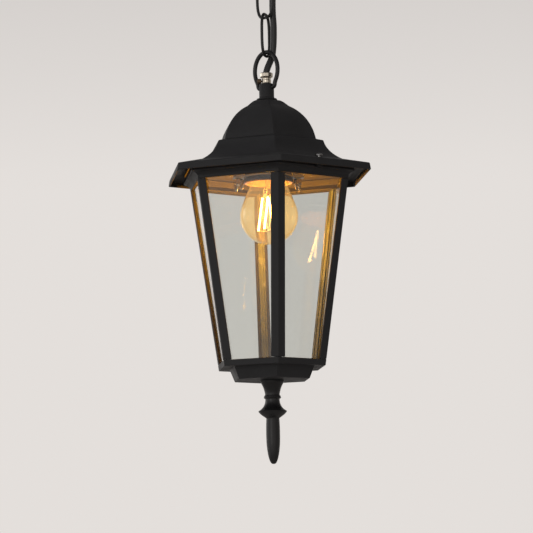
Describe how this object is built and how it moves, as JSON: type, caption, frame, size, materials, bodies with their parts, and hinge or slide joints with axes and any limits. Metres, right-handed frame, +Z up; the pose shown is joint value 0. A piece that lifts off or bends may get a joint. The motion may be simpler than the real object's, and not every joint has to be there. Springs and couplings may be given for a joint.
{
  "type": "hanging lantern",
  "caption": "Hexagonal hanging lantern: domed roof, tapered glazed cage, turned drop finial, chain, flex and ceiling rose, with a lit clear bulb inside.",
  "frame": {"origin": "centre of the crossbar face that lies against the ceiling, on the chain axis", "axes": "+Z up into the ceiling, so the lantern hangs below zero; one cage corner points along -Y"},
  "size_m": [0.1992, 0.23, 0.572],
  "materials": {
    "black_coated_aluminium": "matte",
    "black_coated_steel": "matte",
    "black_chain_steel": "satin",
    "zinc_plated_steel": "satin",
    "nickel_plate": "gloss",
    "brass": "satin",
    "black_flex": "matte",
    "white_plastic": "matte",
    "bakelite": "gloss",
    "browned_steel": "satin",
    "brown_lead": "satin",
    "blue_lead": "satin",
    "pane_glass": "polished",
    "bulb_glass": "polished",
    "stem_glass": "polished",
    "filament": "gloss"
  },
  "bodies": {
    "ceiling_fitting": {"ceiling_crossbar": "zinc_plated_steel", "ceiling_rose": "black_coated_steel", "rose_stud_1": "zinc_plated_steel", "rose_stud_2": "zinc_plated_steel", "rose_cap_nut_1": "black_coated_steel", "rose_cap_nut_2": "black_coated_steel", "hanging_loop": "black_coated_steel", "loop_lock_nut": "zinc_plated_steel", "rose_cord_bush": "black_flex", "terminal_block": "white_plastic", "earth_screw": "brass", "flex_cord": "black_flex"},
    "upper_link": {"chain_link_upper": "black_chain_steel"},
    "lower_link": {"chain_link_lower": "black_chain_steel"},
    "bail": {"bail_ring": "black_coated_steel"},
    "lantern": {"roof": "black_coated_aluminium", "roof_screw_1": "black_coated_steel", "roof_screw_2": "black_coated_steel", "hub": "black_coated_aluminium", "hub_tube": "zinc_plated_steel", "hub_lock_nut": "zinc_plated_steel", "cord_grip": "nickel_plate", "grip_screw": "browned_steel", "hanger_strap": "zinc_plated_steel", "holder_plate": "zinc_plated_steel", "strap_stud_1": "zinc_plated_steel", "strap_stud_2": "zinc_plated_steel", "wing_nut_1": "nickel_plate", "wing_nut_2": "nickel_plate", "lampholder_body": "bakelite", "lampholder_ring": "black_coated_steel", "screw_shell": "brass", "centre_contact": "brass", "live_lead": "brown_lead", "neutral_lead": "blue_lead"},
    "cage": {"cage_top_ring": "black_coated_aluminium", "cage_post_1": "black_coated_aluminium", "cage_post_2": "black_coated_aluminium", "cage_post_3": "black_coated_aluminium", "cage_post_4": "black_coated_aluminium", "cage_post_5": "black_coated_aluminium", "cage_post_6": "black_coated_aluminium", "glass_pane_1": "pane_glass", "glass_pane_2": "pane_glass", "glass_pane_3": "pane_glass", "glass_pane_4": "pane_glass", "glass_pane_5": "pane_glass", "glass_pane_6": "pane_glass", "cage_base": "black_coated_aluminium", "finial": "black_coated_aluminium", "finial_stud": "zinc_plated_steel", "finial_nut": "zinc_plated_steel"},
    "bulb": {"bulb_glass": "bulb_glass", "bulb_cap": "nickel_plate", "bulb_contact": "brass", "bulb_stem": "stem_glass", "bulb_filaments": "filament"}
  },
  "joints": [
    {"name": "upper_link_swing", "type": "hinge", "parent": "ceiling_fitting", "child": "upper_link", "pos_m": [0, 0, -0.06455], "axis": [0.7071, 0.7071, 0], "range_deg": [-30, 30], "deforming": ["flex_cord"]},
    {"name": "lower_link_swing", "type": "hinge", "parent": "upper_link", "child": "lower_link", "pos_m": [0, 0, -0.10475], "axis": [0.632, -0.7749, 0], "range_deg": [-30, 30]},
    {"name": "bail_swing", "type": "hinge", "parent": "lower_link", "child": "bail", "pos_m": [0, 0, -0.14565], "axis": [0.4478, 0.8942, 0], "range_deg": [-30, 30]},
    {"name": "lantern_swing", "type": "hinge", "parent": "bail", "child": "lantern", "pos_m": [0, 0, -0.1795], "axis": [0.7071, -0.7071, 0], "range_deg": [-25, 25]},
    {"name": "cage_drop", "type": "slide", "parent": "lantern", "child": "cage", "axis": [0, 0, -1], "range_m": [0, 0.1]},
    {"name": "bulb_out", "type": "slide", "parent": "lantern", "child": "bulb", "axis": [0, 0, -1], "range_m": [0, 0.03]}
  ]
}
